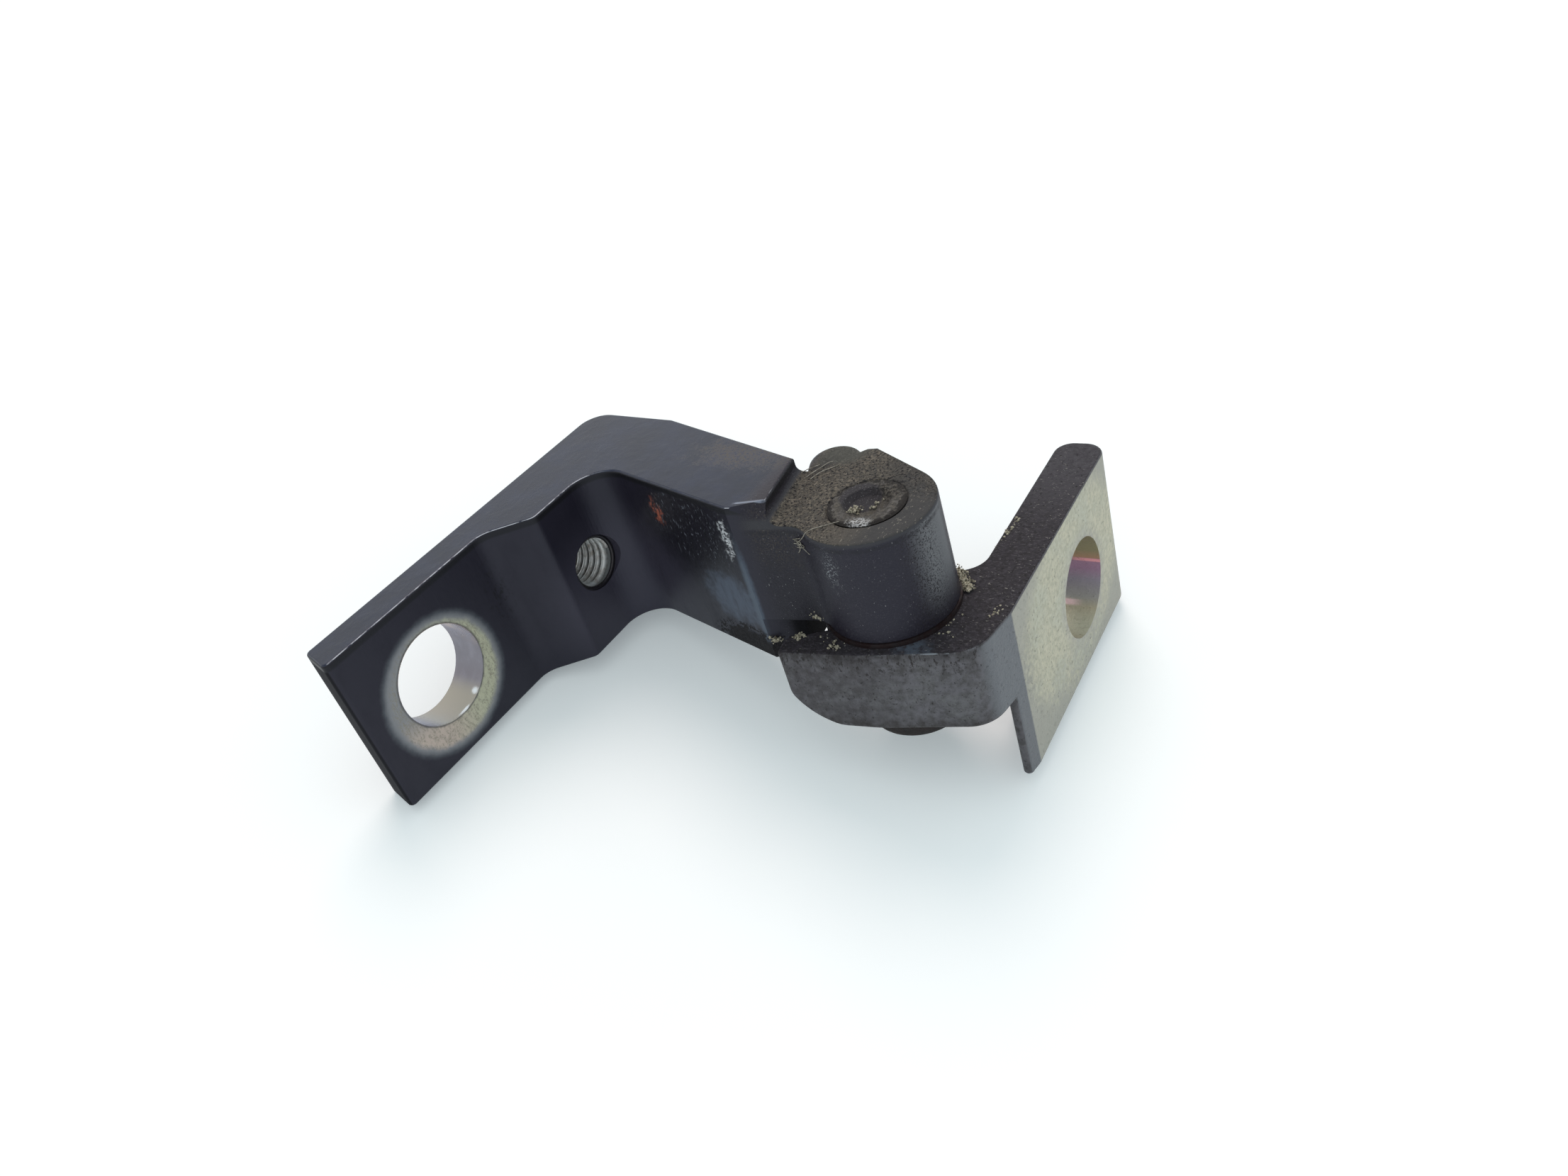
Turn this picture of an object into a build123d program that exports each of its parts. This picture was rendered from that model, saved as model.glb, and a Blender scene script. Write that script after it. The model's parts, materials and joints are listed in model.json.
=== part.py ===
"""Car door hinge: a forged pillar leaf and a forged door leaf that turn about one headed pin.

Millimetres. +Z runs up the hinge pin. The pillar leaf's mounting face lies in the XZ plane and
faces +Y. The origin is where the axis of its bolt hole meets that face.
"""

import os
from math import acos, atan2, cos, hypot, radians, sin

from build123d import *

# Pillar leaf: the plate that bolts to the door pillar, and its threaded pad
leaf_height = 30.4
plate_wall = 7.0
tip_reach = 14.3
tip_lean = 1.8
tip_round = 0.9
pillar_bore_radius = 8.5
pad_wall = 14.1
pad_start = 24.5
ramp_run = 6.2
ramp_foot_radius = 4.4
ramp_head_radius = 1.8
thread_x = 32.5
thread_radius = 5.0

# Pillar leaf: the second arm, which runs from the corner towards the pin
corner_x = 57.2
corner_radius = 4.6
shoulder_drop = 19.9
shoulder_lean = 0.7
arm_corner_radius = 5.9
arm_lean = 14.1
edge_round = 0.5

# Pin axis, from the bolt hole in the pillar leaf
pin_x = 42.4
pin_y = -67.8

# Neck and barrel, with plan points measured from the pin axis
barrel_radius = 10.8
barrel_height = 18.45
step_drop = 3.5
barrel_round = 0.5
crease = (-9.7, 19.4)
step_front = (-6.3, 13.6)
step_back = (5.3, 15.8)
step_cove = 2.2
facet_reach = 2.1
neck_length = 12.46
neck_blend = 5.0
nose = (15.4, 7.0)
nose_cut = 0.7
lobe = (12.7, 13.7)
lobe_radius = 4.6
lobe_root = ((1.6, 13.8), (11.7, 4.3))
lobe_drop = 1.0
lobe_round = 1.5

# Pin: a head under the door leaf, and an end peened into the top of the barrel
pin_radius = 5.0
peen_radius = 6.25
peen_depth = 1.3
peen_proud = 0.25
peen_lean = 0.4
peen_gap = 0.3
peen_round = 0.3
dimple_radius = 4.0
dimple_depth = 0.9
dimple_taper = 45.0
head_radius = 8.7
head_height = 4.8
head_round = 1.1

# Bushes: two flanged sleeves pressed into the door leaf
bush_wall = 1.0
bush_length = 6.5
bush_flange = 0.8
top_flange_radius = 11.1
low_flange_radius = 8.9
running_clearance = 0.05
end_float = 0.1

# Door leaf: an eye on the pin, a stop finger and a bolt-on flange.
# Plan points are measured from the pin axis, with x along the flange.
door_angle = 3.0
eye_height = 15.7
eye_radius = 11.4
eye_front = 13.0
eye_front_round = 20.0
finger_tip = (-14.9, 14.0)
finger_end = (-11.4, 14.5)
finger_root = (-7.0, 6.5)
finger_round = 0.7
finger_belly_radius = 12.0
finger_belly_start = 2.7
finger_belly_gap = 0.3
eye_shoulder = (-8.6, -17.6)
eye_shoulder_round = 6.0
eye_low_round = 1.0
flange_start = 1.0
flange_face = 19.35
flange_wall = 8.9
flange_end = 49.3
flange_drop = 32.3
flange_front_round = 3.8
flange_back_round = 3.1
flange_root_radius = 4.3
flange_low_round = 0.5
web_nose = 3.8
web_nose_round = 0.9
web_heel = 11.5
door_bore_x = 29.3
door_bore_drop = 17.0
door_bore_radius = 9.0

# Levels and radii that follow from the sizes above
leaf_top = leaf_height / 2
leaf_bottom = -leaf_height / 2
barrel_top = leaf_top - step_drop
barrel_bottom = barrel_top - barrel_height
bush_radius = pin_radius + running_clearance + bush_wall
eye_top = barrel_bottom - end_float - bush_flange
eye_bottom = eye_top - eye_height
head_top = eye_bottom - bush_flange - end_float
flange_bottom = eye_top - flange_drop
wall_plane = Plane(origin=(0, 0, 0), x_dir=(1, 0, 0), z_dir=(0, 1, 0))
pin_plane = Plane(origin=(pin_x, pin_y, 0))
door_plane = Plane(
    origin=(pin_x, pin_y, 0),
    x_dir=(cos(radians(door_angle)), sin(radians(door_angle)), 0),
)
pin_line = Axis((pin_x, pin_y, 0), (0, 0, 1))
upright_plane = Plane(origin=(pin_x, pin_y, 0), x_dir=(1, 0, 0), z_dir=(0, -1, 0))
finger_plane = Plane(
    origin=door_plane.from_local_coords((-low_flange_radius - finger_belly_gap, 0, 0)),
    x_dir=door_plane.y_dir,
    z_dir=door_plane.x_dir,
)
face_plane = Plane(
    origin=door_plane.from_local_coords((0, -flange_face, 0)),
    x_dir=door_plane.x_dir,
    z_dir=-door_plane.y_dir,
)
past = 30.0


def from_pin(point):
    """A plan point measured from the pin axis, in the part's own frame."""
    x, y, *_ = point
    return (pin_x + x, pin_y + y)


def tangent_point(point, radius):
    """Where a line from a plan point touches the clockwise side of a circle about the pin axis."""
    angle = atan2(point[1], point[0]) - acos(radius / hypot(*point))
    return (radius * cos(angle), radius * sin(angle))


def round_corner(sketch, point, radius):
    """Rounds the corner of the open sketch that is nearest to a plan point."""
    fillet(sketch.vertices().sort_by_distance(point)[0], radius)


def along(start, end, x):
    """The y at x of the plan line through two points."""
    return start[1] + (end[1] - start[1]) * (x - start[0]) / (end[0] - start[0])


def level_edges(part, height):
    """The edges that lie flat at one height of the open part."""
    return part.edges().filter_by_position(Axis.Z, height - 0.001, height + 0.001)


# The step's direction in plan, and the foot of its cove on the neck's side
step_run = (Vector(*step_back) - Vector(*step_front)).normalized()
step_out = step_run.rotate(Axis.Z, -90)
step_plane = Plane(
    origin=(*from_pin(step_front), 0), x_dir=step_out, z_dir=step_out.cross(Vector(0, 0, 1))
)
facet_foot = Vector(*step_front) + step_out * step_cove - step_run * facet_reach
neck_side = facet_foot - Vector(*crease)

# What the facet beside the step takes away: all above the plane through the short top edge and
# that foot
facet_plane = Plane(Face(Wire.make_polygon([
    (*from_pin(step_front), leaf_top),
    (*from_pin(crease), leaf_top),
    (*from_pin(facet_foot), barrel_top),
])))
with BuildPart() as facet_waste:
    with BuildSketch(pin_plane.offset(barrel_top)):
        Rectangle(2 * past, 2 * past)
    extrude(amount=leaf_top - barrel_top)
    split(bisect_by=facet_plane, keep=Keep.TOP)

# The round lug behind the neck, rooted inside the neck
with BuildPart() as lug:
    with BuildSketch(pin_plane.offset(barrel_bottom)):
        with BuildLine():
            CenterArc(lobe, lobe_radius, 0, 360)
            Line(*lobe_root)
        make_hull()
    extrude(amount=barrel_top - lobe_drop - barrel_bottom)
    fillet(level_edges(lug, barrel_top - lobe_drop), lobe_round)

# Pillar leaf: both arms, the neck and the barrel, cut down to the barrel's level beyond the step
neck_end = Vector(*crease) + neck_side.normalized() * neck_length
arm_rise = -pad_wall - pin_y - crease[1]
arm_inner = (pin_x + crease[0] + arm_rise * sin(radians(arm_lean)), -pad_wall)
with BuildPart() as pillar_leaf:
    with BuildSketch(Plane.XY.offset(leaf_bottom)) as arms:
        with BuildLine():
            Polyline(
                (-tip_reach, 0),
                (-tip_reach - tip_lean, -plate_wall),
                (pad_start - ramp_run, -plate_wall),
                (pad_start, -pad_wall),
                arm_inner,
                from_pin(crease),
                from_pin(step_front),
                from_pin(step_back),
                (corner_x - shoulder_lean, -shoulder_drop),
                (corner_x, 0),
                close=True,
            )
        make_face()
        round_corner(arms, (-tip_reach, 0), tip_round)
        round_corner(arms, (-tip_reach - tip_lean, -plate_wall), tip_round)
        round_corner(arms, (pad_start - ramp_run, -plate_wall), ramp_foot_radius)
        round_corner(arms, (pad_start, -pad_wall), ramp_head_radius)
        round_corner(arms, arm_inner, arm_corner_radius)
        round_corner(arms, (corner_x, 0), corner_radius)
    extrude(amount=leaf_height)

    with BuildSketch(pin_plane.offset(barrel_bottom)) as neck:
        with BuildLine():
            Polyline(
                crease,
                neck_end,
                (0, 0),
                tangent_point(nose, barrel_radius),
                nose,
                step_back,
                close=True,
            )
        make_face()
        Circle(barrel_radius)
        round_corner(neck, neck_end, neck_blend)
        chamfer(neck.vertices().sort_by_distance(nose)[0], nose_cut)
    extrude(amount=leaf_top - barrel_bottom)

    # The step from the arm down to the barrel, with a cove at its foot
    with BuildSketch(step_plane):
        with BuildLine():
            Line((0, leaf_top + past), (0, barrel_top + step_cove))
            RadiusArc((0, barrel_top + step_cove), (step_cove, barrel_top), -step_cove)
            Polyline(
                (step_cove, barrel_top),
                (2 * past, barrel_top),
                (2 * past, leaf_top + past),
                (0, leaf_top + past),
            )
        make_face()
    extrude(amount=past, both=True, mode=Mode.SUBTRACT)

    # The barrel's rim and the arms' edges, then the facet that leads from the short top edge down
    # to the side of the neck
    barrel_rim = level_edges(pillar_leaf, barrel_top)
    front_rim = barrel_rim.sort_by_distance((pin_x, pin_y - barrel_radius, barrel_top))[0]
    nose_rim = barrel_rim.sort_by_distance((*from_pin(nose), barrel_top))[0]
    fillet([front_rim, nose_rim], barrel_round)
    fillet(level_edges(pillar_leaf, leaf_top) + level_edges(pillar_leaf, leaf_bottom), edge_round)
    add(facet_waste.part, mode=Mode.SUBTRACT)

    # The round lug behind the neck
    add(lug.part)

    # Bolt hole, threaded hole and the pin's bore with its countersink
    with Locations(wall_plane):
        Hole(pillar_bore_radius, depth=plate_wall)
        with Locations((thread_x, 0)):
            Hole(thread_radius, depth=pad_wall)
    with BuildSketch(upright_plane):
        with BuildLine():
            Polyline(
                (0, barrel_bottom - past),
                (pin_radius, barrel_bottom - past),
                (pin_radius, barrel_top - peen_depth),
                (peen_radius + peen_gap, barrel_top),
                (peen_radius + peen_gap, barrel_top + past),
                (0, barrel_top + past),
                close=True,
            )
        make_face()
    revolve(axis=pin_line, mode=Mode.SUBTRACT)

# Pin: head, shank, and the peened end with its punched dimple
with BuildPart() as hinge_pin:
    with BuildSketch(upright_plane):
        with BuildLine():
            Polyline(
                (0, head_top - head_height),
                (head_radius, head_top - head_height),
                (head_radius, head_top),
                (pin_radius, head_top),
                (pin_radius, barrel_top - peen_depth),
                (peen_radius, barrel_top),
                (peen_radius - peen_lean, barrel_top + peen_proud),
                (0, barrel_top + peen_proud),
                close=True,
            )
        make_face()
    revolve(axis=pin_line)
    fillet(hinge_pin.edges().group_by(Axis.Z)[0], head_round)
    with BuildSketch(pin_plane.offset(barrel_top + peen_proud)):
        Circle(dimple_radius)
    extrude(amount=-dimple_depth, taper=dimple_taper, mode=Mode.SUBTRACT)
    fillet(level_edges(hinge_pin, barrel_top + peen_proud), peen_round)

# Door leaf: eye, stop finger and flange
with BuildPart() as door_leaf:
    with BuildSketch(door_plane.offset(eye_bottom)) as eye:
        with BuildLine():
            Polyline(
                finger_tip,
                (-eye_front, 0),
                eye_shoulder,
                (flange_start, -flange_face),
                (flange_end, -flange_face),
                (flange_end, flange_wall - flange_face),
                (0, flange_wall - flange_face),
                (0, 0),
                finger_root,
                finger_end,
                close=True,
            )
        make_face()
        Circle(eye_radius)
        round_corner(eye, finger_tip, finger_round)
        round_corner(eye, finger_end, finger_round)
        round_corner(eye, (-eye_front, 0), eye_front_round)
        round_corner(eye, eye_shoulder, eye_shoulder_round)
        round_corner(eye, (flange_end, -flange_face), flange_front_round)
        round_corner(eye, (flange_end, flange_wall - flange_face), flange_back_round)
        root_x = (eye_radius**2 - (flange_face - flange_wall) ** 2) ** 0.5
        round_corner(eye, (root_x, flange_wall - flange_face), flange_root_radius)
    extrude(amount=eye_height)
    fillet(level_edges(door_leaf, eye_bottom), eye_low_round)

    web_tip = (-web_nose, along(eye_shoulder, (flange_start, -flange_face), -web_nose))
    with BuildSketch(door_plane.offset(flange_bottom)) as flange:
        with BuildLine():
            Polyline(
                web_tip,
                (flange_start, -flange_face),
                (flange_end, -flange_face),
                (flange_end, flange_wall - flange_face),
                (web_heel, flange_wall - flange_face),
                close=True,
            )
        make_face()
        round_corner(flange, web_tip, web_nose_round)
        round_corner(flange, (flange_end, -flange_face), flange_front_round)
        round_corner(flange, (flange_end, flange_wall - flange_face), flange_back_round)
    extrude(amount=flange_drop)

    # The finger's belly rises in an arc towards its end
    with BuildSketch(finger_plane):
        with BuildLine():
            belly_end = finger_belly_start + finger_belly_radius
            Line((finger_belly_start, eye_bottom), (belly_end, eye_bottom))
            Line((belly_end, eye_bottom), (belly_end, eye_bottom + finger_belly_radius))
            RadiusArc(
                (finger_belly_start, eye_bottom),
                (belly_end, eye_bottom + finger_belly_radius),
                -finger_belly_radius,
            )
        make_face()
    extrude(amount=-past, mode=Mode.SUBTRACT)

    fillet(level_edges(door_leaf, eye_top), edge_round)
    fillet(level_edges(door_leaf, flange_bottom), flange_low_round)

    # Bolt hole through the flange, and the bore for the bushes
    with Locations(face_plane):
        with Locations((door_bore_x, eye_top - door_bore_drop)):
            Hole(door_bore_radius, depth=flange_wall)
    with BuildSketch(door_plane.offset(eye_bottom)):
        Circle(bush_radius)
    extrude(amount=eye_height, mode=Mode.SUBTRACT)

# Bushes: a flange that takes the thrust and a sleeve pressed into the eye
bushes = {}
for name, seat, up, flange_radius in (
    ("upper_bush", eye_top, 1, top_flange_radius),
    ("lower_bush", eye_bottom, -1, low_flange_radius),
):
    with BuildPart() as bush:
        with BuildSketch(upright_plane):
            with BuildLine():
                bore = pin_radius + running_clearance
                Polyline(
                    (bore, seat - up * bush_length),
                    (bush_radius, seat - up * bush_length),
                    (bush_radius, seat),
                    (flange_radius, seat),
                    (flange_radius, seat + up * bush_flange),
                    (bore, seat + up * bush_flange),
                    close=True,
                )
            make_face()
        revolve(axis=pin_line)
    bushes[name] = bush.part

pieces = {
    "pillar_leaf": pillar_leaf.part,
    "door_leaf": door_leaf.part,
    "hinge_pin": hinge_pin.part,
    **bushes,
}
os.makedirs("parts", exist_ok=True)
for name, piece in pieces.items():
    piece.label = name
    export_step(piece, f"parts/{name}.step")
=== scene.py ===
"""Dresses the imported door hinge: paint, bare metal, dust and grit, and sets its stage."""

import json
from math import atan2, pi, radians, tau
from random import Random

import bmesh
import bpy
from bpy.props import FloatProperty, FloatVectorProperty, IntProperty, PointerProperty
from mathutils import Matrix, Vector
from mathutils.kdtree import KDTree


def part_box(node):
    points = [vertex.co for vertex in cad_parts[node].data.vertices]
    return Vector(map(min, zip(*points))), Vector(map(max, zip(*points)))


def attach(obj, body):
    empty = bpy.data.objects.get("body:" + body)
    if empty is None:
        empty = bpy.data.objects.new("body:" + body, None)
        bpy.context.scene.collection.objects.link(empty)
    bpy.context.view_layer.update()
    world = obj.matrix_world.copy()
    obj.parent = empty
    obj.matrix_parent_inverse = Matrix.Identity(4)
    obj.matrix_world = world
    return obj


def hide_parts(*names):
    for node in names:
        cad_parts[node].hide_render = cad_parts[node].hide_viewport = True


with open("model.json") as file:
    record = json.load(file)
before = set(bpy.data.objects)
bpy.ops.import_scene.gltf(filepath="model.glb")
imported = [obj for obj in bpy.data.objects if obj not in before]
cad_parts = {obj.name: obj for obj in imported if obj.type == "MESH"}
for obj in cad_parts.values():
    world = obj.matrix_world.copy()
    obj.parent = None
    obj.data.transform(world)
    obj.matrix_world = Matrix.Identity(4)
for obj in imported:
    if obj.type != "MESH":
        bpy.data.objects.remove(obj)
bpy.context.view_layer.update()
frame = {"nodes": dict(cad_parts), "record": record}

bl_info = {
    "name": "Car door hinge",
    "version": (1, 0, 0),
    "blender": (4, 5, 0),
    "location": "3D View > Sidebar > Hinge",
    "description": "Finishes the door hinge's leaves, pin and bushes and sets its stage",
    "category": "Object",
}

MM = 0.001
X, Y, Z = range(3)
THROUGH = 1e6  # a radius in mm that goes right through every piece
PEEN = 0.25  # how far the pin's peened end stands above the barrel, in mm
mounts = {mount["name"]: mount for mount in frame["record"]["mounts"]}
pin_low, pin_high = (Vector(corner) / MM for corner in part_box("hinge_pin"))
leaf_low, leaf_high = (Vector(corner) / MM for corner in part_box("pillar_leaf"))
door_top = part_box("door_leaf")[1][Z] / MM
pin_x, pin_y = (pin_low.x + pin_high.x) / 2, (pin_low.y + pin_high.y) / 2
barrel_top = pin_high.z - PEEN
plate_wall = mounts["pillar_bolt_hole"]["dims"]["length_mm"]
thread_place = Vector(mounts["pillar_thread"]["pos_m"]) / MM
thread_major = mounts["pillar_thread"]["dims"]["r_mm"]
thread_depth = mounts["pillar_thread"]["dims"]["length_mm"]
eye_height = 15.7
door_bore = mounts["door_bolt_hole"]
door_turn = atan2(door_bore["axis"][1], door_bore["axis"][0]) - pi / 2


def linear(code):
    """An sRGB hex colour as the four linear numbers that Blender's sockets take."""
    parts = [int(code[i : i + 2], 16) / 255 for i in (1, 3, 5)]
    return [p / 12.92 if p <= 0.04045 else ((p + 0.055) / 1.055) ** 2.4 for p in parts] + [1.0]


def hue(name, code, text):
    """A colour that a user may change."""
    return FloatVectorProperty(
        name=name, description=text, subtype="COLOR", size=4, min=0, max=1, default=linear(code)
    )


class PillarLeafLook(bpy.types.PropertyGroup):
    """Colours and wear of the pillar leaf."""

    paint: hue("Paint", "#1c1a25", "Glossy black dip paint on the upright faces")
    painted_sky_sheen: hue("Slate", "#0c1628", "Bluer black of the paint on the faces that look up")
    # A painted sheen: the bluer black stands in for the sky's reflection on the faces that look up
    satin: hue("Satin", "#0f0b14", "Duller black on the neck and the barrel")
    film: hue("Grey film", "#4a5362", "Grey film of road dirt near the crease")
    dust: hue("Dust", "#696257", "Felted dust on the top of the barrel")
    zinc: hue("Bare zinc", "#c0c1a8", "Yellowed metal that the washer kept bare")
    bore: hue("Bore metal", "#838087", "Bright metal inside the bolt hole")
    rust: hue("Worn spot", "#a35a45", "Orange-red spot that is worn through the paint")
    washer: FloatProperty(
        name="Washer mark",
        description="Radius of the bare ring round the bolt hole",
        default=12.35 * MM,
        unit="LENGTH",
    )


class DoorLeafLook(bpy.types.PropertyGroup):
    """Colours of the door leaf."""

    wall: hue("Wall", "#605f65", "Grey-green phosphate coat on the upright walls")
    top: hue("Top", "#1b191e", "Charcoal dirt on the faces that look up")
    strip: hue("Strip", "#676b71", "Smooth lilac-grey beside the mounting face")
    zinc: hue("Zinc", "#c8c4ae", "Yellow-cream zinc on the mounting face")
    stain: hue("Stain", "#b0af9b", "Grey mottles on the zinc")
    dirt: hue("Dirt", "#211e20", "Brown-black dirt along the edges")


class PinLook(bpy.types.PropertyGroup):
    """Colours of the hinge pin."""

    peen: hue("Peen", "#4f4d4b", "Steel-grey end of the pin under a little dust")
    worn: hue("Worn patch", "#b9babb", "Whitish scuffs on the peened rim")
    head: hue("Head", "#1f1c1c", "Rusty brown grease on the pin's head")


class BushLook(bpy.types.PropertyGroup):
    """Colours of the two bushes."""

    metal: hue("Metal", "#2a1c1d", "Dark reddish-brown bronze under old grease")


class ThreadLook(bpy.types.PropertyGroup):
    """Sizes and colour of the thread in the pillar leaf."""

    pitch: FloatProperty(
        name="Pitch",
        description="Distance from one turn of the thread to the next",
        default=1.5 * MM,
        unit="LENGTH",
    )
    minor: FloatProperty(
        name="Minor radius",
        description="Radius at the crests of the thread",
        default=4.2 * MM,
        unit="LENGTH",
    )
    steps: IntProperty(
        name="Steps", description="Straight pieces in one turn of the thread", default=40, min=12
    )
    steel: hue("Steel", "#d0d3d3", "Bare grey steel of the cut thread")


class GritLook(bpy.types.PropertyGroup):
    """Colour and order of the crumbs of dirt."""

    straw: hue("Straw", "#c4bda8", "Pale dried mud")
    seed: IntProperty(name="Seed", description="Another number lays the crumbs anew", default=7)


class LintLook(bpy.types.PropertyGroup):
    """Colour and size of the threads of lint."""

    fibre: hue("Fibre", "#a8a398", "Dusty textile fibre")
    thickness: FloatProperty(
        name="Thickness",
        description="Diameter of one thread",
        default=0.14 * MM,
        unit="LENGTH",
    )


class StageLook(bpy.types.PropertyGroup):
    """The floor, the lamps and the camera."""

    floor: hue("Floor", "#f4f5f4", "Plain pale table")
    level: FloatProperty(
        name="Level",
        description="Height of the floor under the pillar leaf's mounting face",
        default=leaf_low.z * MM,
        unit="LENGTH",
    )
    rise: FloatProperty(
        name="Rise",
        description="How far the floor rises for each metre along the leaf's face normal",
        default=0.318,
    )
    lens: FloatProperty(
        name="Lens", description="Focal length on a sensor 36 mm wide", default=27.18, unit="CAMERA"
    )
    lamp: FloatProperty(
        name="Lamp", description="Strength of the soft lamp over the table", default=1.1
    )
    sky: FloatProperty(name="Sky", description="Strength of the light all round", default=0.8)


def add(tree, kind, inputs=None, **settings):
    """Adds a shader node with its settings. An input is a socket, a value or a hex colour."""
    made = tree.nodes.new(kind)
    for name, value in settings.items():
        setattr(made, name, value)
    for key, value in (inputs or {}).items():
        if isinstance(value, bpy.types.NodeSocket):
            tree.links.new(value, made.inputs[key])
        else:
            made.inputs[key].default_value = linear(value) if isinstance(value, str) else value
    return made


def new_finish(name):
    """An empty material, with its tree, its place in mm and its surface direction."""
    finish = bpy.data.materials.new(name)
    finish.use_nodes = True
    tree = finish.node_tree
    tree.nodes.clear()
    coords = add(tree, "ShaderNodeTexCoord")
    place = add(
        tree, "ShaderNodeMapping", {"Vector": coords.outputs["Object"], "Scale": [1 / MM] * 3}
    )
    return finish, tree, place.outputs[0], coords.outputs["Normal"]


def grains(place, size, low, high, detail=4.0, stretch=(1, 1, 1), seed=(0, 0, 0)):
    """A mottled mask from 0 to 1, with blotches of about the given size in mm."""
    tree = place.id_data
    spread = add(
        tree,
        "ShaderNodeMapping",
        {"Vector": place, "Location": seed, "Scale": [1 / (size * s) for s in stretch]},
    )
    noise = add(
        tree,
        "ShaderNodeTexNoise",
        {"Vector": spread.outputs[0], "Scale": 1.0, "Detail": detail, "Roughness": 0.6},
    )
    mask = add(
        tree,
        "ShaderNodeMapRange",
        {0: noise.outputs[0], 1: low, 2: high},
        interpolation_type="SMOOTHSTEP",
    )
    return mask.outputs[0]


def patch(place, centre, radii, soft, ragged=None, amount=0.0):
    """A mask that is 1 inside a spot with those radii in mm, with a soft or a ragged rim."""
    tree = place.id_data
    local = add(
        tree,
        "ShaderNodeMapping",
        {"Vector": place, "Location": centre, "Scale": radii},
        vector_type="TEXTURE",
    )
    length = add(tree, "ShaderNodeVectorMath", {0: local.outputs[0]}, operation="LENGTH")
    reach = length.outputs["Value"]
    if ragged is not None:
        inputs = {0: ragged, 1: amount, 2: reach}
        reach = add(tree, "ShaderNodeMath", inputs, operation="MULTIPLY_ADD").outputs[0]
    mask = add(
        tree,
        "ShaderNodeMapRange",
        {0: reach, 1: 1 - soft, 2: 1 + soft, 3: 1.0, 4: 0.0},
        interpolation_type="SMOOTHSTEP",
    )
    return mask.outputs[0]


def along(vector, axis, low, high):
    """A mask that rises from 0 to 1 as one part of a vector goes from low to high."""
    tree = vector.id_data
    part = add(tree, "ShaderNodeSeparateXYZ", {0: vector}).outputs[axis]
    return add(
        tree, "ShaderNodeMapRange", {0: part, 1: low, 2: high}, interpolation_type="SMOOTHSTEP"
    ).outputs[0]


def both(first, *others):
    """Where the first mask and all the others are."""
    for mask in others:
        inputs = {0: first, 1: mask}
        first = add(mask.id_data, "ShaderNodeMath", inputs, operation="MULTIPLY").outputs[0]
    return first


def either(first, second):
    """Where either of two masks is."""
    inputs = {0: first, 1: second}
    return add(first.id_data, "ShaderNodeMath", inputs, operation="MAXIMUM").outputs[0]


def tones(tree, first, *layers):
    """Colours laid over each other, each with its mask."""
    for mask, over in layers:
        inputs = {0: mask, 6: first, 7: over}
        first = add(tree, "ShaderNodeMix", inputs, data_type="RGBA").outputs[2]
    return first


def lay_coats(tree, coats):
    """Lays coats over each other, from the first. Each is mask, colour, roughness and metal."""
    masks, colours, *numbers = zip(*coats)
    laid = {"Base Color": tones(tree, colours[0], *zip(masks[1:], colours[1:]))}
    for name, values in zip(("Roughness", "Metallic"), numbers):
        laid[name] = values[0]
        if len(set(values)) > 1:
            for mask, value in zip(masks[1:], values[1:]):
                inputs = {0: mask, 2: laid[name], 3: value}
                laid[name] = add(tree, "ShaderNodeMix", inputs).outputs[0]
    return laid


def relief(tree, heights):
    """A surface direction from several heights. Each is a mask and its depth in mm."""
    normal = None
    for height, depth in heights:
        inputs = {"Height": height, "Distance": depth * MM}
        if normal is not None:
            inputs["Normal"] = normal
        normal = add(tree, "ShaderNodeBump", inputs).outputs[0]
    return normal


def seen_plainly(tree):
    """1 to the camera and in glossy or clear surfaces, and 0 to the light that bounces."""
    path = add(tree, "ShaderNodeLightPath").outputs
    return either(either(path["Is Camera Ray"], path["Is Glossy Ray"]), path["Is Transmission Ray"])


def cover(tree, coats, heights=(), plain=None):
    """Ends a finish with its shader: its coats, its relief and what is the same all over."""
    inputs = {**lay_coats(tree, coats), **(plain or {})}
    if heights:
        inputs["Normal"] = relief(tree, heights)
    shader = add(tree, "ShaderNodeBsdfPrincipled", inputs)
    add(tree, "ShaderNodeOutputMaterial", {"Surface": shader.outputs[0]})


def wear(piece, finish):
    """Gives a piece or a CAD node one finish all over."""
    if piece.material_slots:
        for slot in piece.material_slots:
            slot.material = finish
    else:
        piece.data.materials.append(finish)


def set_down(mesh, name):
    """Turns a bmesh into a piece of that name."""
    data = bpy.data.meshes.new(name)
    mesh.to_mesh(data)
    mesh.free()
    piece = bpy.data.objects.new(name, data)
    bpy.context.collection.objects.link(piece)
    return piece


def settle(mesh, name, finish, body):
    """Turns a bmesh into a smooth piece that rides on a body."""
    bmesh.ops.recalc_face_normals(mesh, faces=mesh.faces)
    piece = set_down(mesh, name)
    piece.data.polygons.foreach_set("use_smooth", [True] * len(piece.data.polygons))
    wear(piece, finish)
    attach(piece, body)
    return piece


def shade_alike(mesh, source):
    """Gives the corners of a mesh the surface directions that the source has at the same spots."""
    same_spot, same_way = 0.002 * MM, 0.9
    facing = {i: face.normal for face in source.polygons for i in face.loop_indices}
    spots = KDTree(len(source.loops))
    for loop in source.loops:
        spots.insert(source.vertices[loop.vertex_index].co, loop.index)
    spots.balance()
    directions = []
    for face in mesh.polygons:
        for i in face.loop_indices:
            spot = mesh.vertices[mesh.loops[i].vertex_index].co
            same = [near for _, near, _ in spots.find_range(spot, same_spot)]
            best = max(same, key=lambda near: facing[near].dot(face.normal), default=None)
            known = best is not None and facing[best].dot(face.normal) > same_way
            directions.append(source.corner_normals[best].vector if known else face.normal)
    mesh.polygons.foreach_set("use_smooth", [True] * len(mesh.polygons))
    mesh.normals_split_custom_set(directions)


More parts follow.
